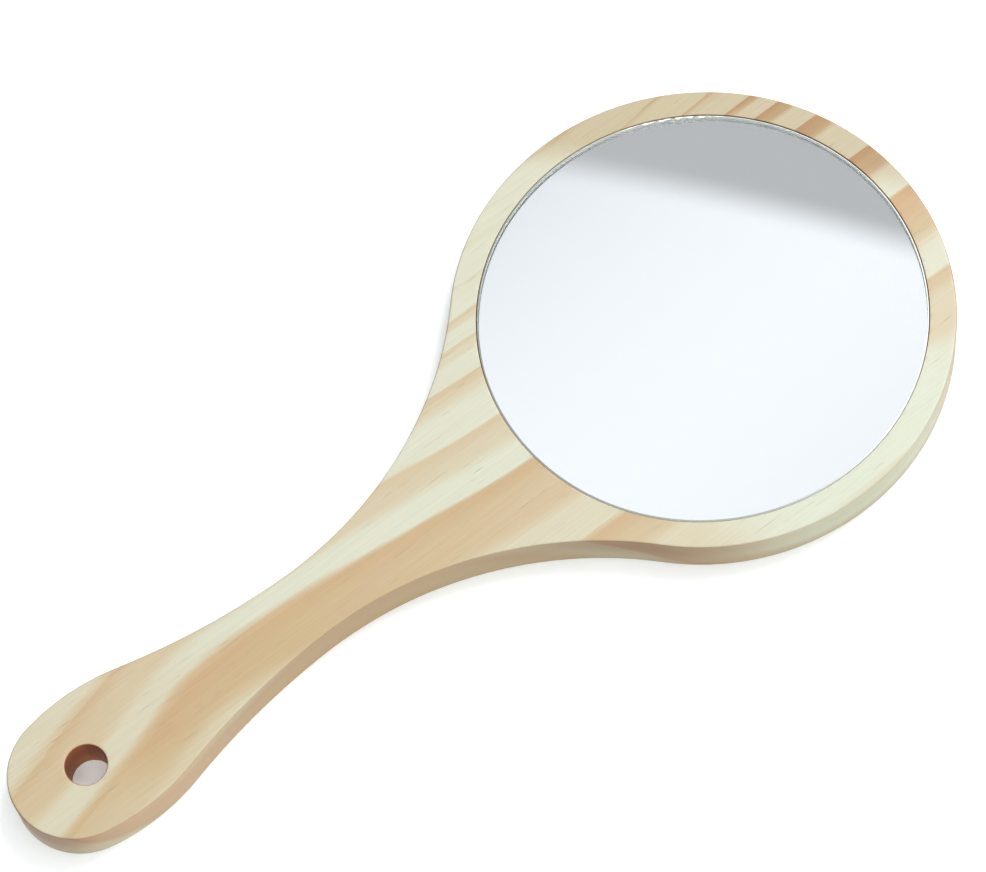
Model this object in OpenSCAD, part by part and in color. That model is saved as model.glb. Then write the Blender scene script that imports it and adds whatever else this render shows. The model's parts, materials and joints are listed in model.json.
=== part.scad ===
// Hand mirror: a round glass let into one pine board with a waisted handle and a hang hole.
// X runs across the handle, Y from the handle's end to the head, Z up out of the glass.
// The origin is under the middle of the board, on its back face.

/* [Board] */
// Diameter of the round head, across the wood
head_d = 123.5; // [122:0.5:128]
// Thickness of the board
board_t = 11; // [10:0.5:14]
// Radius rounded onto the outside edges of both faces
edge_r = 0.5; // [0.3:0.1:2]

/* [Handle outline] */
// Degrees below the head's cross line at which the neck leaves the head
neck_leave = 47.7; // [47:0.1:48.4]
// Radius of the hollow curve from the head to the waist
neck_r = 99.5; // [98:0.5:101]
// Degrees that the neck's curve turns through
neck_sweep = 49.6; // [49:0.1:50.2]
// Radius of the flatter hollow curve from the waist to the palm
waist_r = 185; // [160:5:210]
// Degrees that the waist's curve turns through
waist_sweep = 13.4; // [12:0.1:14.5]
// Radius of the swell that fills the palm
palm_r = 55; // [50:1:60]
// Degrees that the palm's curve turns through
palm_sweep = 26.6; // [24:0.1:28]

/* [Hang hole] */
// Diameter of the hole through the end of the handle
hole_d = 10; // [8:0.5:12]
// Distance from the hole's centre to the end of the handle
hole_inset = 19.3; // [17:0.1:21]
// Width of the bevel that eases both rims of the hole
hole_bevel = 0.4; // [0.2:0.1:0.8]

/* [Mirror glass] */
// Diameter of the glass
glass_d = 110; // [106:0.5:111]
// Thickness of the glass
glass_t = 2; // [1.5:0.5:4]
// Width of the ground bevel on the glass's two edges
arris = 0.3; // [0.2:0.1:0.8]
// Gap between the glass and the wall of its pocket
pocket_gap = 0.2; // [0.2:0.1:0.6]

/* [Coatings and tape] */
// Thickness drawn for the silver coating
silver_t = 0.05; // [0.03:0.01:0.1]
// Thickness drawn for the backing paint
paint_t = 0.1; // [0.05:0.01:0.2]
// Thickness of the foam mounting tape
tape_t = 1; // [0.5:0.1:1.5]
// Side of each square of tape
tape_side = 20; // [15:1:25]
// Distance from the glass's centre to the centre of each outer square
tape_orbit = 36; // [33:1:40]
// Radius cut on the corners of each square
tape_corner = 1.5; // [0.5:0.5:3]

/* [Hidden] */
$fn = 160;
eps = 0.5; // overshoot of cutters past the faces they cut

// Steps along each arc of the outline and round each rounded edge
head_steps = 36;
neck_steps = 16;
waist_steps = 6;
palm_steps = 8;
end_steps = 10;
edge_steps = 4;

head_r = head_d / 2;
hole_r = hole_d / 2;
glass_r = glass_d / 2;
pocket_r = glass_r + pocket_gap;

// The outline is a chain of tangent arcs down the +X side, mirrored for the -X side.
// Each arc is held by its centre and by the angles of the wood's outward normal at its ends.
function unit(a) = [cos(a), sin(a)];
neck_from = -neck_leave;
neck_to = neck_from + neck_sweep;
waist_to = neck_to + waist_sweep;
palm_to = waist_to - palm_sweep;
neck_c = (head_r + neck_r) * unit(neck_from);
waist_c = neck_c + (waist_r - neck_r) * unit(neck_to);
palm_c = waist_c - (waist_r + palm_r) * unit(waist_to);
palm_end = palm_c + palm_r * unit(palm_to);
end_r = palm_end[0] / cos(palm_to);
end_y = palm_end[1] - end_r * sin(palm_to);

// Heights in the stack, from the pocket's floor to the glass's face
glass_z = board_t - glass_t;
silver_z = glass_z - silver_t;
paint_z = silver_z - paint_t;
tape_z = paint_z - tape_t;

// The head's centre, which the outline is drawn about, measured from the origin
head_y = (-(end_y - end_r) - head_r) / 2;
hole_y = end_y - end_r + hole_inset;

// Points along an arc about c, without its last one. The radius is negative on a hollow arc,
// whose centre lies on the side that the outward normal points to.
function arc_points(c, r, from, to, steps) =
  [for (i = [0:steps - 1]) c + r * unit(from + (to - from) * i / steps)];

// The outline set in from the board's edge by d, from the top of the head round to where it began
function side_points(d) = concat(
  arc_points([0, 0], head_r - d, 90, neck_from, head_steps),
  arc_points(neck_c, -neck_r - d, neck_from, neck_to, neck_steps),
  arc_points(waist_c, -waist_r - d, neck_to, waist_to, waist_steps),
  arc_points(palm_c, palm_r - d, waist_to, palm_to, palm_steps),
  arc_points([0, end_y], end_r - d, palm_to, -90, end_steps)
);
function outline(d) = let (side = side_points(d)) concat(
  side,
  [[0, end_y - end_r + d]],
  [for (i = [len(side) - 1:-1:1]) [-side[i][0], side[i][1]]]
);

// The board is a stack of outlines that follows the quarter circles of its two rounded edges
edge_rings = concat(
  [for (i = [0:edge_steps]) edge_r * [1 - sin(90 * i / edge_steps), 1 - cos(90 * i / edge_steps)]],
  [for (i = [0:edge_steps]) [0, board_t] + edge_r * [1 - cos(90 * i / edge_steps), sin(90 * i / edge_steps) - 1]]
);
module board_blank() {
  rings = [for (ring = edge_rings) [for (p = outline(ring[0])) [p[0], p[1], ring[1]]]];
  n = len(rings[0]);
  last = len(rings) - 1;
  half = n / 2;
  walls = [
    for (k = [0:last - 1], i = [0:n - 1])
      [k * n + i, k * n + (i + 1) % n, (k + 1) * n + (i + 1) % n, (k + 1) * n + i]
  ];
  // Both faces are strips of two triangles from side to side, since the outline is symmetric.
  face = concat(
    [for (i = [0:half - 2]) [i, i + 1, n - i - 1]],
    [for (i = [1:half - 1]) [i, n - i - 1, n - i]]
  );
  top = [for (t = face) [for (i = t) last * n + i]];
  back = [for (t = face) [t[2], t[1], t[0]]];
  polyhedron([for (ring = rings) each ring], concat(walls, top, back));
}

module hang_hole() {
  translate([0, 0, -eps]) cylinder(r = hole_r, h = board_t + 2 * eps);
  translate([0, 0, -eps]) cylinder(r1 = hole_r + hole_bevel + eps, r2 = hole_r, h = hole_bevel + eps);
  translate([0, 0, board_t - hole_bevel])
    cylinder(r1 = hole_r, r2 = hole_r + hole_bevel + eps, h = hole_bevel + eps);
}

module wood_body() color("#E4CFA4") translate([0, head_y, 0]) difference() {
  board_blank();
  translate([0, 0, tape_z]) cylinder(r = pocket_r, h = board_t);
  translate([0, hole_y, 0]) hang_hole();
}

module mirror_glass() color("#DDE8E6") translate([0, head_y, glass_z]) {
  cylinder(r1 = glass_r - arris, r2 = glass_r, h = arris);
  translate([0, 0, arris]) cylinder(r = glass_r, h = glass_t - 2 * arris);
  translate([0, 0, glass_t - arris]) cylinder(r1 = glass_r, r2 = glass_r - arris, h = arris);
}

// A coating over the back of the glass, inside its bevel
module coating(z, t) translate([0, head_y, z]) cylinder(r = glass_r - arris, h = t);

module silver_layer() color("#C9CDD0") coating(silver_z, silver_t);

module backing_paint() color("#6E7478") coating(paint_z, paint_t);

// One square of tape with rounded corners, centred on [x, y] from the glass's centre
module tape_square(x, y) color("#F1F0EA") translate([x, head_y + y, tape_z]) {
  flat = tape_side - 2 * tape_corner;
  translate([-flat / 2, -tape_side / 2, 0]) cube([flat, tape_side, tape_t]);
  translate([-tape_side / 2, -flat / 2, 0]) cube([tape_side, flat, tape_t]);
  for (sx = [-1, 1], sy = [-1, 1])
    translate([sx * flat / 2, sy * flat / 2, 0]) cylinder(r = tape_corner, h = tape_t);
}

module outer_tape_square(i) {
  at = tape_orbit * unit(45 + 90 * (i - 1));
  tape_square(at[0], at[1]);
}

wood_body();
mirror_glass();
silver_layer();
backing_paint();
tape_square(0, 0);  // tape_square_centre
for (i = [1:4]) outer_tape_square(i);
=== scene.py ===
"""A hand mirror: a round glass let into one pine board with a waisted handle and a hang hole.

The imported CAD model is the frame. X runs across the handle, Y from the handle's end to the
head, Z up out of the glass. Lengths are in millimetres and are turned into metres by MM.
Colours are linear.
"""

import json
import math

import bmesh
import bpy
import numpy as np
from mathutils import Matrix, Vector, kdtree, noise
from mathutils.geometry import delaunay_2d_cdt


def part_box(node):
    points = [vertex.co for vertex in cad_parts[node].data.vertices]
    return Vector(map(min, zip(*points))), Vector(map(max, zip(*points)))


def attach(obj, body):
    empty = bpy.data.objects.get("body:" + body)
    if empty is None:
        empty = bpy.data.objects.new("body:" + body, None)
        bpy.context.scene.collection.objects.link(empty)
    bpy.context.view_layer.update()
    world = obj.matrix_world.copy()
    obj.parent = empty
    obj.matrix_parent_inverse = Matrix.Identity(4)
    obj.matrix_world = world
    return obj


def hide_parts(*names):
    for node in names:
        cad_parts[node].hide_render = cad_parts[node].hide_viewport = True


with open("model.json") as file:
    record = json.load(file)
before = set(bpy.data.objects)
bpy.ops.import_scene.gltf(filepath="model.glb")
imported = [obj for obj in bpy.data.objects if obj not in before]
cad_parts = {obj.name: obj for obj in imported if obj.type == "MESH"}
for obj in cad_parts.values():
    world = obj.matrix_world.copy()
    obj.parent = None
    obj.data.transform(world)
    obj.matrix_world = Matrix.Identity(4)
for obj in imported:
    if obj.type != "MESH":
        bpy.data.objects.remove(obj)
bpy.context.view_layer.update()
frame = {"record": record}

MM = 0.001

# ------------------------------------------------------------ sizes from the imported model
GLASS_LOW, GLASS_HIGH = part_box("mirror_glass")
SILVER_LOW, SILVER_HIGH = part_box("silver_layer")
PAINT_LOW, PAINT_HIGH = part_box("backing_paint")
HANG_HOLE = next(m for m in frame["record"]["mounts"] if m["name"] == "hang_hole")

HEAD_Y = (GLASS_LOW[1] + GLASS_HIGH[1]) / 2 / MM
HOLE_Y = HANG_HOLE["pos_m"][1] / MM
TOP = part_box("wood_body")[1][2] / MM
GLASS_BACK, GLASS_TOP = GLASS_LOW[2] / MM, GLASS_HIGH[2] / MM
SILVER_BACK, SILVER_TOP = SILVER_LOW[2] / MM, SILVER_HIGH[2] / MM
PAINT_BACK, PAINT_TOP = PAINT_LOW[2] / MM, PAINT_HIGH[2] / MM
POCKET_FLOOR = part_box("tape_square_centre")[0][2] / MM
COAT_R = (SILVER_HIGH[0] - SILVER_LOW[0]) / 2 / MM

# ------------------------------------------------------------ sizes that the board is drawn with
HEAD_R = 61.75
NECK_LEAVE = 47.7       # degrees below the head's cross line where the neck begins
NECK_R, NECK_SWEEP = 99.5, 49.6
WAIST_R, WAIST_SWEEP = 185.0, 13.4
PALM_R, PALM_SWEEP = 55.0, 26.6
EDGE_R = 0.5            # rounding on the outside edges
HOLE_R, HOLE_EASE = 5.0, 0.4
POCKET_R, POCKET_EASE = 55.2, 0.15
GLASS_R, ARRIS = 55.0, 0.3
TAPE_SIDE, TAPE_CORNER = 20.0, 1.5


# ------------------------------------------------------------ meshes
def unit(degrees):
    return np.array([math.cos(math.radians(degrees)), math.sin(math.radians(degrees))])


def ripple(x, y, size, seed):
    """A smooth value from 0 to 1 that changes over about size millimetres."""
    return 0.5 + 0.5 * noise.noise(Vector((x / size, y / size, seed)))


def circle(radius, y, z, steps, wear=lambda step: 0.0):
    """Points round (0, y) at height z. wear tells how far inside the radius each one lies."""
    points = []
    for i in range(steps):
        a, r = 2 * math.pi * i / steps, radius - wear(i)
        points.append((r * math.cos(a), y + r * math.sin(a), z))
    return points


CLEAR = 0.6             # grid points keep this share of their spacing away from a face's rims
MERGE = 1e-5            # points of a face closer than this are one


def grid(rims, spacing, inside):
    """A triangular grid of points on a face, clear of the points on its rims."""
    tree = kdtree.KDTree(len(rims))
    for i, p in enumerate(rims):
        tree.insert((p.x, p.y, 0), i)
    tree.balance()
    low = np.min([p[:] for p in rims], axis=0)
    high = np.max([p[:] for p in rims], axis=0)
    row_step = spacing * math.sqrt(3) / 2
    points = []
    for j in range(int((high[1] - low[1]) / row_step) + 1):
        y = low[1] + j * row_step
        for i in range(int((high[0] - low[0]) / spacing) + 2):
            x = low[0] + (i - 0.5 * (j % 2)) * spacing
            if inside(x, y) and tree.find((x, y, 0))[2] > CLEAR * spacing:
                points.append(Vector((x, y)))
    return points


class Shell:
    """A closed mesh put together from loops of points, in millimetres."""

    def __init__(self):
        self.points, self.faces, self.slots = [], [], []

    def face(self, corners, slot=0):
        self.faces.append(tuple(corners))
        self.slots.append(slot)

    def loop(self, points):
        start = len(self.points)
        self.points += [tuple(map(float, p)) for p in points]
        return list(range(start, len(self.points)))

    def bridge(self, a, b, slot=0):
        """A band of four-sided faces between two loops of as many points."""
        n = len(a)
        for i in range(n):
            j = (i + 1) % n
            self.face((a[i], a[j], b[j], b[i]), slot)

    def stack(self, loops):
        for a, b in zip(loops, loops[1:]):
            self.bridge(a, b)

    def fan(self, loop, place):
        """Triangles from a loop to one point."""
        middle = self.loop([place])[0]
        for i, j in zip(loop, loop[1:] + loop[:1]):
            self.face((i, j, middle))

    def fill(self, outer, holes, spacing, inside, height):
        """Triangles between an outer loop and any holes, through a grid of points between them.

        inside(x, y) tells whether a point is on the face, and height(x, y) gives its z."""
        loops = [outer] + list(holes)
        ring = [i for loop in loops for i in loop]
        flat = [Vector(self.points[i][:2]) for i in ring]
        edges, start = [], 0
        for loop in loops:
            n = len(loop)
            edges += [(start + i, start + (i + 1) % n) for i in range(n)]
            start += n
        flat += grid(flat, spacing, inside)
        out, _, triangles, origin, _, _ = delaunay_2d_cdt(flat, edges, [], 1, MERGE)
        names = []
        for place, source in zip(out, origin):
            known = [s for s in source if s < len(ring)]
            if known:
                names.append(ring[known[0]])
            else:
                names += self.loop([(place.x, place.y, height(place.x, place.y))])
        for t in triangles:
            centre = sum((out[i] for i in t), Vector((0, 0))) / len(t)
            if inside(centre.x, centre.y):
                self.face(names[i] for i in t)

    def build(self, name, materials, sharp=None):
        """The finished piece in metres, smooth but for edges that turn by more than sharp degrees."""
        mesh = bpy.data.meshes.new(name)
        mesh.from_pydata([tuple(c * MM for c in p) for p in self.points], [], self.faces)
        mesh.polygons.foreach_set("material_index", self.slots)
        for material in materials:
            mesh.materials.append(material)
        bm = bmesh.new()
        bm.from_mesh(mesh)
        bmesh.ops.delete(bm, geom=[v for v in bm.verts if not v.link_faces], context="VERTS")
        bmesh.ops.recalc_face_normals(bm, faces=bm.faces)
        bm.to_mesh(mesh)
        bm.free()
        mesh.polygons.foreach_set("use_smooth", [True] * len(mesh.polygons))
        if sharp is not None:
            mesh.set_sharp_from_angle(angle=math.radians(sharp))
        mesh.update()
        piece = bpy.data.objects.new(name, mesh)
        bpy.context.scene.collection.objects.link(piece)
        return piece


# Spacing of the points along the outline, on the faces, and on the pocket's floor
OUTLINE_STEP, FACE_STEP, FLOOR_STEP = 0.8, 1.6, 3.0
LEAST_STEPS = 8                         # on any one arc of the outline
EDGE_STEPS, RIM_STEPS = 6, 3            # steps over each outside edge, and over each hole's rim
POCKET_STEPS, HOLE_STEPS = 480, 96      # steps round each hole
WALL_SHARES = (0.25, 0.5, 0.75)         # heights of the loops on the side wall
# What sanding by hand does: how far it changes the edges' rounding, as a share of it, how far it
# dips the side wall, and how far it dips the faces, each with the length over which that varies
HAND, HAND_SIZE = 0.22, 17
WALL_DIP, WALL_SIZE = 0.05, 23
FACE_DIP, FACE_SIZE = 0.03, 30


def outline():
    """Points of the board's outline with their outward normals, from the top of the head round."""
    neck_from = -NECK_LEAVE
    neck_to = neck_from + NECK_SWEEP
    waist_to = neck_to + WAIST_SWEEP
    palm_to = waist_to - PALM_SWEEP
    neck_c = (HEAD_R + NECK_R) * unit(neck_from)
    waist_c = neck_c + (WAIST_R - NECK_R) * unit(neck_to)
    palm_c = waist_c - (WAIST_R + PALM_R) * unit(waist_to)
    palm_end = palm_c + PALM_R * unit(palm_to)
    end_r = palm_end[0] / math.cos(math.radians(palm_to))
    end_c = np.array([0, palm_end[1] - end_r * math.sin(math.radians(palm_to))])
    arcs = [
        (np.zeros(2), HEAD_R, 90, neck_from), (neck_c, -NECK_R, neck_from, neck_to),
        (waist_c, -WAIST_R, neck_to, waist_to), (palm_c, PALM_R, waist_to, palm_to),
        (end_c, end_r, palm_to, -90),
    ]
    points, normals = [], []
    for centre, radius, start, stop in arcs:
        steps = max(LEAST_STEPS, round(abs(radius * math.radians(stop - start)) / OUTLINE_STEP))
        for i in range(steps):
            n = unit(start + (stop - start) * i / steps)
            points.append(centre + radius * n)
            normals.append(n)
    points.append(end_c + end_r * unit(-90))
    normals.append(unit(-90))
    mirror = np.array([-1, 1])
    back = range(len(points) - 2, 0, -1)
    points += [points[i] * mirror for i in back]
    normals += [normals[i] * mirror for i in back]
    return np.array(points) + [0, HEAD_Y], np.array(normals)


def pine_board(material):
    """The board: rounded outside edges, the glass's pocket, and the hang hole with eased rims."""
    shell = Shell()
    points, normals = outline()
    ease = [EDGE_R * (1 + HAND * (2 * ripple(*p, HAND_SIZE, 3) - 1)) for p in points]

    def edge_loop(angle, top):
        """One loop of an edge: angle 0 is on the wall, 90 on the face."""
        inset, drop = 1 - math.cos(math.radians(angle)), 1 - math.sin(math.radians(angle))
        return shell.loop([
            (*(p - n * r * inset), TOP - r * drop if top else r * drop)
            for p, n, r in zip(points, normals, ease)
        ])

    def wall_loop(share):
        """One loop of the side wall, at a share of the way down it."""
        dips = [WALL_DIP * ripple(p[0] + 5, p[1], WALL_SIZE, 9) for p in points]
        return shell.loop([
            (*(p - n * dip), TOP - r + share * (2 * r - TOP))
            for p, n, r, dip in zip(points, normals, ease, dips)
        ])

    angles = [90 * i / EDGE_STEPS for i in range(EDGE_STEPS + 1)]
    top_edge = [edge_loop(a, True) for a in reversed(angles)]
    low_edge = [edge_loop(a, False) for a in angles]
    shell.stack(top_edge + [wall_loop(share) for share in WALL_SHARES] + low_edge)

    side = points[points[:, 0] >= 0]
    side = side[np.argsort(side[:, 1])]

    def within(x, y):
        return abs(x) < np.interp(y, side[:, 1], side[:, 0], left=0, right=0)

    def rim(radius, centre_y, ease_r, z, up, steps):
        """Loops that round a hole's rim over from the face into its wall."""
        turns = [math.radians(90 * i / RIM_STEPS) for i in range(RIM_STEPS + 1)]
        return [
            shell.loop(circle(radius + ease_r * (1 - math.sin(a)), centre_y,
                              z - up * ease_r * (1 - math.cos(a)), steps))
            for a in turns
        ]

    pocket = rim(POCKET_R, HEAD_Y, POCKET_EASE, TOP, 1, POCKET_STEPS)
    floor_loop = shell.loop(circle(POCKET_R, HEAD_Y, POCKET_FLOOR, POCKET_STEPS))
    shell.stack(pocket + [floor_loop])
    hole_top = rim(HOLE_R, HOLE_Y, HOLE_EASE, TOP, 1, HOLE_STEPS)
    hole_low = rim(HOLE_R, HOLE_Y, HOLE_EASE, 0, -1, HOLE_STEPS)
    shell.stack(hole_top + hole_low[::-1])

    def in_pocket(x, y, ease_r=POCKET_EASE):
        return math.hypot(x, y - HEAD_Y) < POCKET_R + ease_r

    def in_hole(x, y):
        return math.hypot(x, y - HOLE_Y) < HOLE_R + HOLE_EASE

    shell.fill(
        top_edge[0], [pocket[0], hole_top[0]], FACE_STEP,
        lambda x, y: within(x, y) and not in_pocket(x, y) and not in_hole(x, y),
        lambda x, y: TOP - FACE_DIP * ripple(x, y, FACE_SIZE, 1),
    )
    shell.fill(
        low_edge[-1], [hole_low[0]], FACE_STEP,
        lambda x, y: within(x, y) and not in_hole(x, y),
        lambda x, y: FACE_DIP * ripple(x, y, FACE_SIZE, 2),
    )
    shell.fill(
        floor_loop, [], FLOOR_STEP,
        lambda x, y: in_pocket(x, y, 0), lambda x, y: POCKET_FLOOR,
    )
    board = shell.build("pine_board", [material])
    keep_flat = board.modifiers.new("flat faces", "WEIGHTED_NORMAL")
    keep_flat.weight = 100
    return board


GLASS_STEPS = 900                       # steps round the glass
GLASS_LOOPS = (8, 25, 42, 52)           # radii of the loops across each polished face
CHIP_AT, CHIP_SPREAD = 149.5, 14.0      # degrees round the glass where its bevel is nibbled
CHIP_REACH = 15.0                       # and how far that reaches from its middle
FINE_WEAR = 0.05                        # the unevenness of the grinding all round
BITE, BITE_MORE, BITE_SOFT = 3.0, 0.08, 3.5     # how deep nibbles are, how common, and how rounded
# The share of this wear on the rims of the face, the wall's top and foot, and the back
FACE_WEAR, TOP_WEAR, LOW_WEAR, BACK_WEAR = 1.0, 0.25, 0.2, 0.1


def glass_disc(polished, bevel, edge):
    """The glass: polished faces, and ground bevels with the small nibbles of hand grinding."""
    shell = Shell()

    def nibble(i, seed):
        """How far the rim is worn in at one step round it."""
        degrees = 360 * i / GLASS_STEPS
        swing = abs((degrees - CHIP_AT + 180) % 360 - 180) / CHIP_SPREAD
        chipped = max(0.0, 1 - swing * swing)
        fine = ripple(i * 0.21, seed, 1, 4)
        bite = max(0.0, noise.noise(Vector((i * 0.27, seed, 8))) + BITE_MORE)
        return FINE_WEAR * fine + BITE * chipped * bite / (1 + BITE_SOFT * bite)

    def loop(radius, z, wear=0.0, seed=0):
        return shell.loop(circle(radius, HEAD_Y, z, GLASS_STEPS, lambda i: wear * nibble(i, seed)))

    face_r = GLASS_R - ARRIS
    top = [loop(r, GLASS_TOP) for r in GLASS_LOOPS] + [loop(face_r, GLASS_TOP, FACE_WEAR)]
    top_lip = loop(GLASS_R, GLASS_TOP - ARRIS, TOP_WEAR, 5)
    low_lip = loop(GLASS_R, GLASS_BACK + ARRIS, LOW_WEAR, 7)
    back = [loop(face_r, GLASS_BACK, BACK_WEAR, 3)] + [loop(r, GLASS_BACK) for r in GLASS_LOOPS[::-1]]
    shell.stack(top)
    shell.bridge(top[-1], top_lip, 1)
    shell.bridge(top_lip, low_lip, 2)
    shell.bridge(low_lip, back[0], 2)
    shell.stack(back)
    shell.fan(top[0], (0, HEAD_Y, GLASS_TOP))
    shell.fan(back[-1], (0, HEAD_Y, GLASS_BACK))
    return shell.build("glass_disc", [polished, bevel, edge], sharp=20)


COAT_STEPS = 480                        # steps round a coat
COAT_LOOPS = (10, 30, 46)               # radii of the loops across it
RAGGED_IN = 1.2                         # a last loop stands this far inside the rim
RAGGED_STEPS = 9                        # steps over which the rim wanders


def coat(name, low, high, radius, material, ragged):
    """A thin coating on the back of the glass, whose rim wanders where it was sprayed or poured."""
    shell = Shell()
    rims = []
    for z in (high, low):
        radii = (*COAT_LOOPS, radius - RAGGED_IN)
        loops = [shell.loop(circle(r, HEAD_Y, z, COAT_STEPS)) for r in radii]
        rim = circle(radius, HEAD_Y, z, COAT_STEPS, lambda i: ragged * ripple(i, z, RAGGED_STEPS, 5))
        loops.append(shell.loop(rim))
        shell.fan(loops[0], (0, HEAD_Y, z))
        shell.stack(loops)
        rims.append(loops[-1])
    shell.bridge(*rims)
    return shell.build(name, [material], sharp=30)


TAPE_SIDE_STEPS, TAPE_CORNER_STEPS, TAPE_LEVELS = 20, 6, 6
TAPE_STEP = 1.0                         # spacing of the points on a tape's two faces
PULL = 0.25                             # how far its sides stand in where they meet the faces
# The waver of the knife that cut it and the dimples in its faces, each with its size
WAVER, WAVER_SIZE = 0.06, 2.5
DIMPLE, DIMPLE_SIZE = 0.04, 1.5


def tape_square(name, node, material):
    """A square of foam tape with rounded corners, whose pressed sides bulge between its faces."""
    low, high = (np.array(end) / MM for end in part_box(node))
    cx, cy = (low[0] + high[0]) / 2, (low[1] + high[1]) / 2
    half = TAPE_SIDE / 2
    flat = half - TAPE_CORNER
    base = []
    for quarter in range(4):
        turn = np.column_stack([unit(90 * quarter), unit(90 * quarter + 90)])
        corner = [np.array([flat, flat]) + TAPE_CORNER * unit(90 * i / TAPE_CORNER_STEPS)
                  for i in range(TAPE_CORNER_STEPS + 1)]
        side = [np.array([flat - 2 * flat * i / TAPE_SIDE_STEPS, half])
                for i in range(1, TAPE_SIDE_STEPS)]
        base += [turn @ p for p in corner + side]
    shell = Shell()
    loops = []
    for level in range(TAPE_LEVELS + 1):
        share = level / TAPE_LEVELS
        swell = PULL * (math.sin(math.pi * share) - 1)
        out = []
        for p in base:
            wave = WAVER * (ripple(p[0] + cx, p[1] + cy, WAVER_SIZE, share * 2) - 1)
            q = p * (1 + (swell + wave) / half)
            out.append((cx + q[0], cy + q[1], low[2] + (high[2] - low[2]) * share))
        loops.append(shell.loop(out))
    shell.stack(loops)
    for loop, z, dimple in ((loops[0], low[2], DIMPLE), (loops[-1], high[2], -DIMPLE)):
        shell.fill(
            loop, [], TAPE_STEP, lambda x, y: max(abs(x - cx), abs(y - cy)) < half + 1,
            lambda x, y: z + dimple * ripple(x, y, DIMPLE_SIZE, 6),
        )
    return shell.build(name, [material], sharp=50)


# ------------------------------------------------------------ materials
class Look:
    """A material's node tree, built one node at a time."""

    def __init__(self, owner):
        self.owner = owner
        owner.use_nodes = True
        self.tree = owner.node_tree
        self.tree.nodes.clear()

    def node(self, kind, inputs=None, **settings):
        made = self.tree.nodes.new("ShaderNode" + kind)
        for key, value in settings.items():
            setattr(made, key, value)
        for key, value in (inputs or {}).items():
            if isinstance(value, bpy.types.NodeSocket):
                self.tree.links.new(value, made.inputs[key])
            else:
                made.inputs[key].default_value = value
        return made

    def math(self, operation, *values, clamp=False):
        made = self.node("Math", dict(enumerate(values)), operation=operation, use_clamp=clamp)
        return made.outputs[0]

    def times(self, first, *others):
        for other in others:
            first = self.math("MULTIPLY", first, other)
        return first

    def plus(self, first, *others):
        for other in others:
            first = self.math("ADD", first, other)
        return first

    def gain(self, share, change):
        """A factor of 1 where share is 0, and of 1 + change where it is 1."""
        return self.math("MULTIPLY_ADD", share, change, 1.0)

    def centred(self, value, width):
        """A value from 0 to 1 turned into one from -width / 2 to width / 2."""
        return self.math("MULTIPLY_ADD", value, width, -width / 2)

    def axes(self, vector):
        return self.node("SeparateXYZ", {0: vector}).outputs

    def split(self, colour):
        return self.node("SeparateColor", {0: colour}).outputs

    def join(self, values):
        return self.node("CombineColor", dict(enumerate(values))).outputs[0]

    def spread(self, vector, x, y, z):
        """The position with each axis multiplied, to stretch a pattern."""
        return self.node("VectorMath", {0: vector, 1: (x, y, z)}, operation="MULTIPLY").outputs[0]

    def noise(self, vector, scale=1.0, detail=3.0, roughness=0.5, distortion=0.0):
        values = {"Vector": vector, "Scale": scale, "Detail": detail,
                  "Roughness": roughness, "Distortion": distortion}
        return self.node("TexNoise", values).outputs[0]

    def remap(self, value, low, high, to_low=0.0, to_high=1.0, kind="SMOOTHSTEP"):
        """A soft step from to_low, where value is low, to to_high, where it is high."""
        values = {"Value": value, "From Min": low, "From Max": high,
                  "To Min": to_low, "To Max": to_high}
        return self.node("MapRange", values, interpolation_type=kind).outputs[0]

    def ramp(self, value, stops, kind="LINEAR"):
        """A colour read off a ramp of stops, each a place from 0 to 1 and a colour."""
        made = self.node("ValToRGB", {0: value})
        made.color_ramp.interpolation = kind
        elements = made.color_ramp.elements
        elements[0].position, elements[1].position = stops[0][0], stops[-1][0]
        for place, _ in stops[1:-1]:
            elements.new(place)
        for element, (_, colour) in zip(elements, stops):
            element.color = (*colour, 1)
        return made.outputs[0]

    def mix(self, share, a, b, blend="MIX"):
        """Colour a turning into colour b as share goes from 0 to 1."""
        made = self.node("Mix", data_type="RGBA", blend_type=blend)
        for slot, value in ((0, share), (6, a), (7, b)):
            if isinstance(value, bpy.types.NodeSocket):
                self.tree.links.new(value, made.inputs[slot])
            else:
                made.inputs[slot].default_value = value if slot == 0 else (*value, 1)
        return made.outputs[2]

    def curve(self, value, points, low, high, out_low, out_high, straight=False):
        """A value read off a curve through points, whose own values lie from out_low to out_high."""
        share = self.remap(value, low, high, kind="LINEAR")
        made = self.node("FloatCurve", {1: share})
        line = made.mapping.curves[0]
        while len(line.points) > 2:
            line.points.remove(line.points[1])
        placed = [((x - low) / (high - low), (y - out_low) / (out_high - out_low)) for x, y in points]
        line.points[0].location, line.points[1].location = placed[0], placed[-1]
        for place in placed[1:-1]:
            line.points.new(*place)
        if straight:
            for point in line.points:
                point.handle_type = "VECTOR"
        made.mapping.update()
        return self.remap(made.outputs[0], 0, 1, out_low, out_high, "LINEAR")

    def bump(self, height, depth):
        """Relief in the surface's normal: height from 0 to 1 over depth millimetres."""
        return self.node("Bump", {"Height": height, "Distance": depth * MM}).outputs[0]

    def here(self):
        """The place on the piece in millimetres, in the row frame."""
        at = self.node("TexCoord").outputs["Object"]
        return self.node("VectorMath", {0: at, "Scale": 1 / MM}, operation="SCALE").outputs[0]

    def finish(self, shader, volume=None):
        out = self.node("OutputMaterial", {"Surface": shader})
        if volume is not None:
            self.tree.links.new(volume, out.inputs["Volume"])
        return self.owner

    def surface(self, **values):
        """A Principled shader. Underscores in the names stand for spaces."""
        inputs = {key.replace("_", " "): value for key, value in values.items()}
        return self.node("BsdfPrincipled", inputs).outputs[0]


# The growth rings are circles about a pith line that lies above the board, over its +X side.
PITH_X, PITH_ABOVE = 76.0, 60.0
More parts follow.
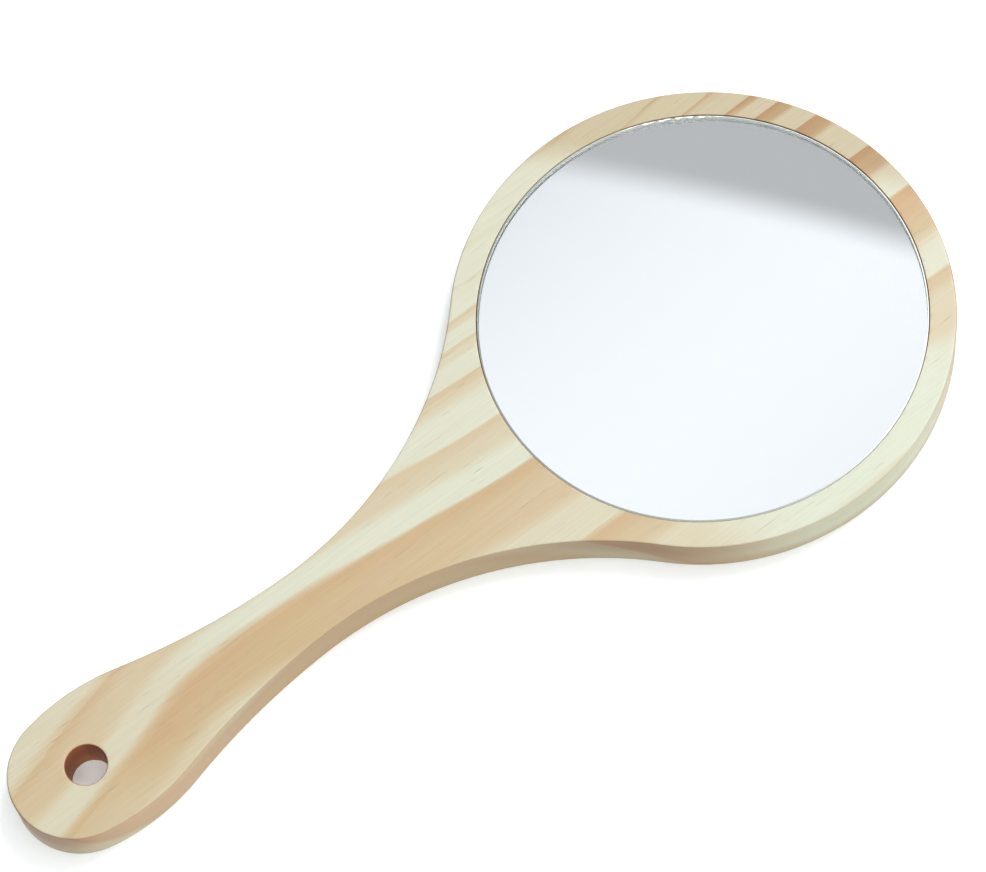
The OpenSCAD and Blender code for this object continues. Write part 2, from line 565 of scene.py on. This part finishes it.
# Where each ring's hard outer edge meets the board's face at the neck: x, how strong its late
# wood is, the share of the ring that is late wood, how tan its early wood is, and how much
# longer the late wood is at the handle's end.
RINGS = [
    (61.0, 0.40, 0.30, 0.05, 0.00), (28.8, 0.80, 0.42, 0.06, 0.00), (3.6, 0.90, 0.62, 0.20, -0.25),
    (-10.8, 0.54, 0.50, 0.00, 0.08), (-24.3, 0.60, 0.34, 0.02, 0.10), (-32.6, 0.42, 0.40, 0.04, 0.0),
    (-38.0, 0.44, 0.40, 0.04, 0.00), (-45.0, 0.32, 0.42, 0.03, 0.00), (-52.5, 0.22, 0.50, 0.03, 0.0),
    (-62.0, 0.24, 0.60, 0.05, 0.00), (-70.0, 0.30, 0.50, 0.08, 0.00),
]
OUTERMOST = (0.5, 0.4, 0.3, 0.0)        # the same, without x, for the wood outside the last of them
SPARE = 16.0            # how far the field of rings runs past the first and the last of them
MIDDLE_RING = RINGS[2][0]
# How far the grain wanders to +X along the board: y, shift
GRAIN = [
    (-140, 14.0), (-130, 10.6), (-120, 7.4), (-110, 4.3), (-100, 1.2), (-90, -2.6), (-80, -5.2),
    (-70, -6.1), (-60, -5.9), (-50, -5.5), (-40, -4.7), (-30, -3.8), (-20, -2.6), (-10, -1.5),
    (0, -0.3), (12, 0.6), (60, 1.3), (120, 1.8), (140, 2.0),
]
GRAIN_SPAN, GRAIN_REACH = 140, 20       # that table's bounds: y either way, and shift either way
WANDER, JAG = 1.8, 0.9                  # how far the rings' edges drift, and how far fibres fray them
FAN, LEAN = 1.33, 0.08                  # spread of the rings at the handle's end, lean at the top
FADE = 0.34                             # share of a ring over which its late wood comes in
# Parts of the board where its rings differ, each from and to in y, or in y - x for the corner, which
# also carries painted shade and two over its +X side, in x and y: the shoulder, and the flank, which
# carries painted light
HEAD_TOP, HANDLE_TIP, BESIDE_NECK, UPPER_LEFT = (95, 122), (-116, -90), (58, 72), (121, 136)
# and two over its +X side, in x and y
SHOULDER_X, SHOULDER_Y = (37, 44), (32, 48)
FLANK_X, FLANK_BEGIN, FLANK_END = (30, 52), (38, 60), (100, 114)
# Waves per millimetre, across the grain, along it and through the board, of each pattern
FIBRES, DRIFT, SLOW = (1.5, 0.03, 1.5), (0.14, 0.010, 0.14), (0.05, 0.010, 0.05)
BLOTCHES, CANALS, STREAKS = (0.07, 0.02, 0.07), (2.6, 0.11, 2.6), (4.5, 0.06, 4.5)
CREAM, STRAW, TAN = (0.528, 0.548, 0.438), (0.500, 0.445, 0.305), (0.428, 0.286, 0.146)
ROSE, HONEY, AMBER = (0.450, 0.298, 0.156), (0.430, 0.318, 0.150), (0.425, 0.262, 0.118)
CANAL = (0.250, 0.190, 0.125)
# Factors on the wood's colour: painted shade in the head's upper left corner and on the late wood
# there, painted light on the head's right flank, in dark and light streaks, on end grain, and in the
# hole, where drill burnish and painted shade darken it
CORNER_PAINTED_SHADE, CORNER_LATE_PAINTED_SHADE, FLANK_PAINTED_LIGHT = (0.86, 0.81, 0.74), (0.88, 0.81, 0.68), (1.0, 1.07, 1.11)
STREAK_DARK, STREAK_LIGHT = (0.86, 0.85, 0.84), (1.04, 1.04, 1.04)
END_GRAIN, BURNISH_AND_SHADE = (0.52, 0.30, 0.15), (0.82, 0.33, 0.10)
# and on the cut edges, partly their own warmer tone and partly painted shade that changes along the
# board: at the handle's end, then from and to in y of each change, and the factor that it leads to on
# the palm, the neck and the head
CUT_END_AND_SHADE = (0.78, 0.58, 0.43)
CUT_TINTS_AND_SHADE = [
    ((-126, -112), (0.89, 0.68, 0.53)),
    ((-104, -76), (0.77, 0.66, 0.52)),
    ((15, 60), (0.82, 0.74, 0.61)),
]


def growth_rings(look, at, x, y, z, fibre):
    """The phase in the ring at each place, from 0 where it begins to 1 at its hard outer edge,
    then what RINGS says of that ring, and last how strong the late wood of the ring inside it is."""
    drift = look.noise(look.spread(at, *DRIFT), detail=2)
    bend = look.curve(y, GRAIN, -GRAIN_SPAN, GRAIN_SPAN, -GRAIN_REACH, GRAIN_REACH)
    frayed = look.plus(x, look.centred(drift, WANDER), look.centred(fibre, JAG))
    # The rings stand further apart towards the handle's end, and lean to -X at the head's top.
    off = look.math("SUBTRACT", look.math("SUBTRACT", frayed, bend), MIDDLE_RING)
    fan = look.remap(y, -118, -20, 1 / FAN, 1.0)
    lean = look.times(look.math("ABSOLUTE", off), look.remap(y, 60, 122, 0.0, LEAN))
    across = look.plus(look.math("MULTIPLY_ADD", off, fan, MIDDLE_RING), lean)
    out = look.math("SUBTRACT", across, PITH_X)
    up = look.math("SUBTRACT", z, TOP + PITH_ABOVE)
    radius = look.math("SQRT", look.plus(look.times(out, out), look.times(up, up)))
    edges = [math.hypot(PITH_X - ring[0], PITH_ABOVE) for ring in RINGS]
    count = len(edges) + 1
    first, last = edges[0] - SPARE, edges[-1] + SPARE
    years = [(first, 0)] + [(r, i + 1) for i, r in enumerate(edges)] + [(last, count)]
    year = look.curve(radius, years, first, last, 0, count, straight=True)
    ring = look.math("DIVIDE", look.plus(look.math("FLOOR", year), 0.5), count)
    inner = look.math("SUBTRACT", ring, 1 / count)
    kinds = [kind[1:] for kind in RINGS] + [OUTERMOST]
    table = [(i / count, kind[:3]) for i, kind in enumerate(kinds)]
    # A ramp holds nothing below 0, so half is added to this table and taken off what it gives.
    longer_table = [(i / count, (0.5 + kind[3], 0, 0)) for i, kind in enumerate(kinds)]
    strong, late, early = look.split(look.ramp(ring, table, "CONSTANT"))
    before = look.split(look.ramp(inner, table, "CONSTANT"))[0]
    longer = look.plus(look.split(look.ramp(ring, longer_table, "CONSTANT"))[0], -0.5)
    return look.math("FRACT", year), strong, late, early, longer, before


def wood_tone(look, at, x, y, z, fibre):
    """How tan the wood is, how dark the line at each ring's hard edge is, and the share of the
    head's upper left corner, where shade is painted."""
    phase, strong, late, early, longer, before = growth_rings(look, at, x, y, z, fibre)
    top = look.remap(y, *HEAD_TOP)
    tip = look.remap(y, *HANDLE_TIP, 1.0, 0.0)
    beside = look.remap(y, *BESIDE_NECK, 1.0, 0.0)
    # The head's upper left corner, where shade is painted into the wood
    corner = look.remap(look.math("SUBTRACT", y, x), *UPPER_LEFT)
    shoulder = look.times(look.remap(x, *SHOULDER_X), look.remap(y, *SHOULDER_Y, 0.22, 0.0))
    # The share of late wood changes towards the handle's end, and at the head's top over +X.
    late = look.math("MULTIPLY_ADD", longer, look.remap(y, -100, -20, 1.0, 0.0), late)
    late = look.math("MULTIPLY_ADD", top, look.remap(x, 20, 30, 0.0, 0.22), late)
    # Early wood is paler at the head's top over +X, and tanner at the handle's end and on the head's
    # right shoulder; in the head's upper left corner the added tan is painted shade.
    early = look.times(early, look.gain(top, look.remap(x, 14, 25, 0.0, -0.8)))
    early = look.plus(early, look.remap(y, -98, -58, 0.24, 0.05), look.times(corner, 0.22), shoulder)
    # Late wood's strength varies along the board, and from side to side at the head's top, on the
    # head's left beside the neck, and at the handle's end.
    slow = look.noise(look.spread(at, *SLOW), detail=2)
    life = look.times(
        look.remap(slow, 0.3, 0.7, 0.82, 1.08, "LINEAR"),
        look.remap(y, -60, 10, 1.18, 0.94),
        look.gain(top, look.remap(x, -10, 34, 0.9, -0.38)),
        look.gain(top, look.remap(x, -28, -15, 0.35, 0.0)),
        look.gain(beside, look.remap(x, -46, -36, -0.75, 0.0)),
        look.gain(tip, look.remap(x, -1, 8, 0.30, -0.38)),
    )
    # It comes in gradually, is darkest at the ring's edge, and stops there with a short soft tail.
    begin = look.math("SUBTRACT", 1.0, late)
    rise = look.remap(look.math("SUBTRACT", phase, begin), -FADE / 2, FADE / 2)
    peak = look.remap(phase, 0.75, 1.0, 0.82, 1.0)
    body = look.times(rise, peak, strong, life)
    tail = look.times(look.remap(phase, 0.0, look.remap(y, -110, 30, 0.26, 0.06), 1.0, 0.0), before)
    body = look.math("MAXIMUM", look.math("MAXIMUM", body, tail), early)
    edge = look.times(
        look.remap(phase, 0.78, 0.98), look.remap(y, -30, 60, 0.25, 1.0), strong,
        look.math("MULTIPLY_ADD", corner, 1.5, 0.55),
    )
    return body, look.math("MINIMUM", edge, 0.9), corner


def cut_faces(look, at, y, z, wood):
    """The wood with its cut edges warmer and darker than its faces, partly painted shade that is
    lighter towards the back as painted light from the floor, its end grain darker, and its hole darker
    and browner, partly drill burnish and partly painted shade. It also gives the share of the bored
    wall."""
    _, facing_y, facing_z = look.axes(look.node("TexCoord").outputs["Normal"])
    # Painted light from the floor: the cut-edge tints and the end grain's darkening are weaker towards
    # the back.
    shade_climb = look.remap(z, 1, TOP - 2, 0.38, 1.0)        # the tints are weaker near the back
    cut_and_shade = look.times(look.remap(look.math("ABSOLUTE", facing_z), 0.2, 0.95, 1.0, 0.0), shade_climb)
    end_grain = look.times(look.remap(look.math("ABSOLUTE", facing_y), 0.25, 0.85, 0.0, 0.8), shade_climb)
    tint = CUT_END_AND_SHADE
    for (low, high), next_tint in CUT_TINTS_AND_SHADE:
        tint = look.mix(look.remap(y, low, high), tint, next_tint)
    # Painted shade in the bored hole, with the drill's burnish: its wall is darker and browner.
    bored = look.remap(radial(look, at, HOLE_Y), HOLE_R + 0.05, HOLE_R + HOLE_EASE, 0.9, 0.0)
    for share, factor in ((cut_and_shade, tint), (end_grain, END_GRAIN), (bored, BURNISH_AND_SHADE)):
        wood = look.mix(share, wood, factor, "MULTIPLY")
    return wood, bored


def pine():
    """Lacquered pine: growth rings with hard outer edges, fibres, and resin canals along the grain."""
    look = Look(bpy.data.materials.new("pine_lacquered"))
    at = look.here()
    x, y, z = look.axes(at)
    fibre = look.noise(look.spread(at, *FIBRES), detail=4, roughness=0.6)
    body, edge, corner = wood_tone(look, at, x, y, z, fibre)
    tan = look.math("ADD", body, look.centred(fibre, 0.24), clamp=True)
    wood = look.ramp(tan, [(0.0, CREAM), (0.45, STRAW), (1.0, TAN)])
    blotch = look.noise(look.spread(at, *BLOTCHES), detail=2)
    tint = look.mix(look.remap(blotch, 0.35, 0.65), ROSE, HONEY)
    wood = look.mix(look.math("MULTIPLY", body, 0.55, clamp=True), wood, tint)
    wood = look.mix(edge, wood, AMBER)
    # Painted shade: the head's upper left corner is darker and browner, the more so in its late wood.
    # Painted light: the head's right flank is paler and greener.
    shaded_late_wood = look.times(corner, look.remap(body, 0.40, 0.80))
    painted_light_flank = look.times(
        look.remap(x, *FLANK_X), look.remap(y, *FLANK_BEGIN), look.remap(y, *FLANK_END, 1.0, 0.0),
    )
    for share, factor in ((corner, CORNER_PAINTED_SHADE), (shaded_late_wood, CORNER_LATE_PAINTED_SHADE), (painted_light_flank, FLANK_PAINTED_LIGHT)):
        wood = look.mix(share, wood, factor, "MULTIPLY")
    canals = look.remap(look.noise(look.spread(at, *CANALS), detail=1), 0.69, 0.80)
    wood = look.mix(look.times(canals, 0.40), wood, CANAL)
    streaks = look.noise(look.spread(at, *STREAKS), detail=3)
    streaked = look.ramp(streaks, [(0.3, STREAK_DARK), (0.7, STREAK_LIGHT)])
    wood = look.mix(0.5, wood, streaked, "MULTIPLY")
    wood, bored = cut_faces(look, at, y, z, wood)
    relief = look.plus(look.times(streaks, 0.6), look.times(body, 0.5), look.times(canals, -0.8))
    rough = look.math("MAXIMUM", look.remap(streaks, 0.3, 0.7, 0.40, 0.52, "LINEAR"), bored)
    return look.finish(look.surface(
        Base_Color=wood, Roughness=rough, IOR=1.5, Coat_Weight=0.2, Coat_Roughness=0.25,
        Normal=look.bump(relief, 0.03),
    ))


def radial(look, at, centre_y):
    """Distance from the upright line through (0, centre_y), in millimetres."""
    off = look.node("VectorMath", {0: at, 1: (0, centre_y, 0)}, operation="SUBTRACT").outputs[0]
    flat = look.spread(off, 1, 1, 0)
    return look.node("VectorMath", {0: flat}, operation="LENGTH").outputs["Value"]


GLASS_TINT, GLASS_DENSITY = (0.72, 0.92, 0.84, 1), 9.0


def polished_glass():
    """Clear glass, a little green in its depth, with faint wiping marks."""
    look = Look(bpy.data.materials.new("float_glass"))
    at = look.here()
    wipe = look.noise(look.spread(at, 0.35, 0.06, 0.35), detail=3, distortion=0.6)
    rough = look.remap(wipe, 0.5, 0.8, 0.0, 0.012)
    shader = look.surface(
        Base_Color=(1, 1, 1, 1), Roughness=rough, IOR=1.52, Transmission_Weight=1.0,
    )
    tint = look.node("VolumeAbsorption", {"Color": GLASS_TINT, "Density": GLASS_DENSITY}).outputs[0]
    return look.finish(shader, tint)


# Painted light: the ground edges glow, standing for the light that the glass carries to them.
EDGE_PAINTED_GLOW = 0.14        # the light that the glass carries to its ground edges
BEVEL_DARK, BEVEL_LIGHT = (0.33, 0.36, 0.34), (0.45, 0.48, 0.46)
EDGE_DARK, EDGE_LIGHT = (0.78, 0.84, 0.81), (0.90, 0.94, 0.92)
# Painted highlight on the bevel towards the head's top, and painted glints on its nibbles
FAR_BEVEL_PAINTED_HIGHLIGHT, CHIP_PAINTED_GLINT = (0.88, 0.92, 0.90), (0.97, 0.98, 0.98)


def ground_glass(name, dark, light, nibbled):
    """Glass left frosty by the grinding belt. A nibbled bevel has a painted highlight, whiter towards
    the head's top, and painted glints on its nibbles. Both kinds of ground glass glow faintly as
    painted light."""
    look = Look(bpy.data.materials.new(name))
    at = look.here()
    grit = look.noise(at, scale=5.0, detail=4, roughness=0.7)
    scallop = look.noise(at, scale=0.9, detail=2)
    colour = look.ramp(grit, [(0.35, dark), (0.65, light)])
    if nibbled:
        chip = (*(GLASS_R * unit(CHIP_AT) + [0, HEAD_Y]), GLASS_TOP)
        away = look.node("VectorMath", {0: at, 1: chip}, operation="DISTANCE").outputs["Value"]
        # Painted highlight: the bevel is whiter towards the head's top.
        far_highlight = look.remap(look.axes(at)[1], HEAD_Y - 25, HEAD_Y + 20, 0.0, 0.8)
        colour = look.mix(far_highlight, colour, FAR_BEVEL_PAINTED_HIGHLIGHT)
        # Painted glints on the nibbles.
        near = look.remap(away, 0.7 * CHIP_REACH, CHIP_REACH, 1.0, 0.0)
        bite = look.remap(look.noise(at, scale=1.1, detail=1), 0.38, 0.46)
        colour = look.mix(look.times(near, bite), colour, CHIP_PAINTED_GLINT)
    relief = look.plus(grit, look.times(scallop, 0.8))
    return look.finish(look.surface(
        Base_Color=colour, Roughness=look.remap(scallop, 0.3, 0.7, 0.25, 0.45), IOR=1.52,
        Normal=look.bump(relief, 0.03), Emission_Color=colour, Emission_Strength=EDGE_PAINTED_GLOW,
    ))


SILVER, TARNISH = (0.935, 0.945, 0.955), (0.50, 0.51, 0.50)


def silver():
    """The silver behind the glass, with a hair of dull tarnish at its rim."""
    look = Look(bpy.data.materials.new("silver_mirror"))
    at = look.here()
    cloud = look.noise(at, scale=0.8, detail=3)
    away = look.plus(radial(look, at, HEAD_Y), look.times(cloud, 0.5))
    rim = look.remap(away, COAT_R + 0.15, COAT_R + 0.45)
    colour = look.mix(rim, SILVER, TARNISH)
    rough = look.remap(rim, 0.0, 1.0, 0.0, 0.3, "LINEAR")
    return look.finish(look.surface(Base_Color=colour, Metallic=1.0, Roughness=rough))


PAINT_DARK, PAINT_LIGHT = (0.020, 0.025, 0.028), (0.034, 0.039, 0.042)


def backing_paint():
    """Dark paint with a fine orange peel and slow sags."""
    look = Look(bpy.data.materials.new("backing_paint"))
    at = look.here()
    peel = look.noise(at, scale=0.9, detail=2)
    sag = look.noise(at, scale=0.06, detail=3)
    colour = look.ramp(sag, [(0.35, PAINT_DARK), (0.65, PAINT_LIGHT)])
    rough = look.remap(peel, 0.3, 0.7, 0.45, 0.65, "LINEAR")
    return look.finish(look.surface(Base_Color=colour, Roughness=rough, Normal=look.bump(peel, 0.03)))


FOAM_DARK, FOAM_LIGHT, CELL_PAINTED_SHADE = (0.66, 0.66, 0.60), (0.76, 0.76, 0.71), (0.42, 0.41, 0.37)


def foam():
    """Closed-cell foam: small round cells with painted shade in their middles, in a cloudy off-white.
    """
    look = Look(bpy.data.materials.new("closed_cell_foam"))
    at = look.here()
    cells = look.node("TexVoronoi", {"Vector": at, "Scale": 4.0}).outputs["Distance"]
    cloud = look.noise(at, scale=0.25, detail=3)
    colour = look.ramp(cloud, [(0.35, FOAM_DARK), (0.65, FOAM_LIGHT)])
    # Painted shade in the middles of the cells.
    colour = look.mix(look.remap(cells, 0.0, 0.45, 0.35, 0.0), colour, CELL_PAINTED_SHADE)
    return look.finish(look.surface(Base_Color=colour, Roughness=0.85, Normal=look.bump(cells, 0.12)))


FLOOR_GLOW = 0.16       # the floor is lit a little from below, as a photographer's light table is
FLOOR_DARK, FLOOR_LIGHT = (0.862, 0.898, 0.893), (0.880, 0.916, 0.910)


def floor_paper():
    look = Look(bpy.data.materials.new("floor_paper"))
    tooth = look.noise(look.here(), scale=0.6, detail=3)
    colour = look.ramp(tooth, [(0.3, FLOOR_DARK), (0.7, FLOOR_LIGHT)])
    return look.finish(look.surface(
        Base_Color=colour, Roughness=0.9, Specular_IOR_Level=0.1,
        Emission_Color=(1, 1, 1, 1), Emission_Strength=FLOOR_GLOW,
    ))


# ------------------------------------------------------------ the pieces
board = pine_board(pine())
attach(board, "root")
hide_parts("wood_body")

bevel_look = ground_glass("ground_bevel", BEVEL_DARK, BEVEL_LIGHT, nibbled=True)
edge_look = ground_glass("ground_edge", EDGE_DARK, EDGE_LIGHT, nibbled=False)
glass = glass_disc(polished_glass(), bevel_look, edge_look)
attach(glass, "root")
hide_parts("mirror_glass")

HAIR = 0.006            # air drawn between the glass and each coat, so that no two faces coincide
SILVER_RAGGED, PAINT_RAGGED = 0.12, 0.5          # how far each coat's rim wanders in
PAINT_SHORT = 0.05      # the paint stops this far inside the silver's rim
silver_coat = coat("silver_coat", SILVER_BACK, SILVER_TOP - HAIR, COAT_R, silver(), SILVER_RAGGED)
paint_coat = coat("paint_coat", PAINT_BACK, PAINT_TOP - HAIR, COAT_R - PAINT_SHORT, backing_paint(),
                  PAINT_RAGGED)
for piece, node, slot in (
    (silver_coat, "silver_layer", "silver"), (paint_coat, "backing_paint", "backing_paint"),
):
    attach(piece, "root")
    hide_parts(node)

foam_look = foam()
for place in ("centre", "1", "2", "3", "4"):
    pad = tape_square("foam_square_" + place, "tape_square_" + place, foam_look)
    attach(pad, "root")
    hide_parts("tape_square_" + place)


# ------------------------------------------------------------ camera, floor and light
AZIMUTH, ELEVATION, ROLL = math.radians(62.13), math.radians(65.16), math.radians(-10.51)
LENS, SENSOR = 147.6, 36.0
LOOK_AT, DISTANCE = Vector((-6.4, 11.82, TOP)), 974.5
NEAREST, FURTHEST = 0.01, 20            # what the camera sees, in metres


def camera():
    """A long lens high over the board's +X side, tipped so that the handle runs down to the left."""
    right = Vector((math.cos(AZIMUTH), math.sin(AZIMUTH), 0))
    towards = Vector((math.sin(AZIMUTH), -math.cos(AZIMUTH), 0))
    back = towards * math.cos(ELEVATION) + Vector((0, 0, math.sin(ELEVATION)))
    up = back.cross(right)
    x = right * math.cos(ROLL) + up * math.sin(ROLL)
    y = up * math.cos(ROLL) - right * math.sin(ROLL)
    data = bpy.data.cameras.new("camera")
    data.lens, data.sensor_width, data.sensor_fit = LENS, SENSOR, "HORIZONTAL"
    data.clip_start, data.clip_end = NEAREST, FURTHEST
    made = bpy.data.objects.new("camera", data)
    bpy.context.scene.collection.objects.link(made)
    turn = Matrix((x, y, back)).transposed().to_4x4()
    made.matrix_world = Matrix.Translation((LOOK_AT + back * DISTANCE) * MM) @ turn
    bpy.context.scene.camera = made


def area_light(name, place, size, power, colour):
    """A round softbox at place, turned to the middle of the board's face."""
    data = bpy.data.lights.new(name, "AREA")
    data.shape, data.size, data.energy, data.color = "DISK", size * MM, power, colour
    made = bpy.data.objects.new(name, data)
    bpy.context.scene.collection.objects.link(made)
    place = Vector(place) * MM
    facing = Vector((0, 0, TOP * MM)) - place
    made.matrix_world = Matrix.LocRotScale(place, facing.to_track_quat("-Z", "Y"), None)


SKY_SIDE = 0.48                         # the studio's walls as the light sees them
SKY_TONE = (1.0, 1.0, 0.49 / 0.48)      # and their colour
SKY_TURN = (0.38, 0.50)                 # how much brighter they are to +X and to +Y
CEILING_FROM, CEILING_TO = 0.60, 0.82   # sine of the elevation over which the ceiling begins
CEILING = (0.515, 0.523, 0.532)
PANEL_FROM, PANEL_TO = 0.878, 0.884     # and the white panel
PANEL_TILT, TILT_ABOUT = 0.20, 0.258    # the panel's edge rises towards +Y, as one that hangs askew
PANEL = (1.00, 1.032, 1.070)
PANEL_X, PANEL_FALL = -0.345, 36.0      # where the panel is brightest, and how fast it falls off
PANEL_LEAST = 0.7                       # to this share at least
LAMP_FROM, LAMP_TO = 0.930, 0.955       # and the softbox in its middle
LAMP = (3.10, 3.10, 3.10)
PORT_FROM, PORT_TO = 0.982, 0.992       # and the dim port in the softbox, straight overhead
PORT = (0.50, 0.51, 0.53)


def studio_sky():
    """Grey studio walls, and overhead a white panel with a softbox in its middle. The softbox has
    a dim port straight overhead, so that the glass doesn't show as blank white from above."""
    world = bpy.data.worlds.new("studio")
    bpy.context.scene.world = world
    look = Look(world)
    x, y, z = look.axes(look.node("TexCoord").outputs["Generated"])
    turn = look.plus(look.times(x, SKY_TURN[0]), look.times(y, SKY_TURN[1]), SKY_SIDE)
    side = look.join(look.times(turn, tone) for tone in SKY_TONE)
    off = look.math("SUBTRACT", x, PANEL_X)
    fall = look.math("MAXIMUM", look.gain(look.times(off, off), -PANEL_FALL), PANEL_LEAST)
    panel = look.join(look.times(fall, tone) for tone in PANEL)
    askew = look.math("MULTIPLY_ADD", look.math("SUBTRACT", y, TILT_ABOUT), -PANEL_TILT, z)
    sky = look.mix(look.remap(z, CEILING_FROM, CEILING_TO), side, CEILING)
    sky = look.mix(look.remap(askew, PANEL_FROM, PANEL_TO), sky, panel)
    sky = look.mix(look.remap(z, LAMP_FROM, LAMP_TO), sky, LAMP)
    sky = look.mix(look.remap(z, PORT_FROM, PORT_TO), sky, PORT)
    back = look.node("Background", {0: sky}).outputs[0]
    look.node("OutputWorld", {0: back})


FLOOR_REACH, FLOOR_Z = 3.0, -0.0001     # metres


def floor():
    mesh = bpy.data.meshes.new("floor")
    signs = ((-1, -1), (1, -1), (1, 1), (-1, 1))
    corners = [(x * FLOOR_REACH, y * FLOOR_REACH, FLOOR_Z) for x, y in signs]
    mesh.from_pydata(corners, [], [(0, 1, 2, 3)])
    mesh.materials.append(floor_paper())
    made = bpy.data.objects.new("floor", mesh)
    bpy.context.scene.collection.objects.link(made)


camera()
floor()
studio_sky()
area_light("key", place=(-250, 1050, 1500), size=900, power=21.0, colour=(1.0, 0.99, 0.97))
area_light("fill", place=(800, -540, 1150), size=700, power=5.5, colour=(1.0, 1.0, 1.0))
bpy.context.scene.view_settings.view_transform = "Standard"
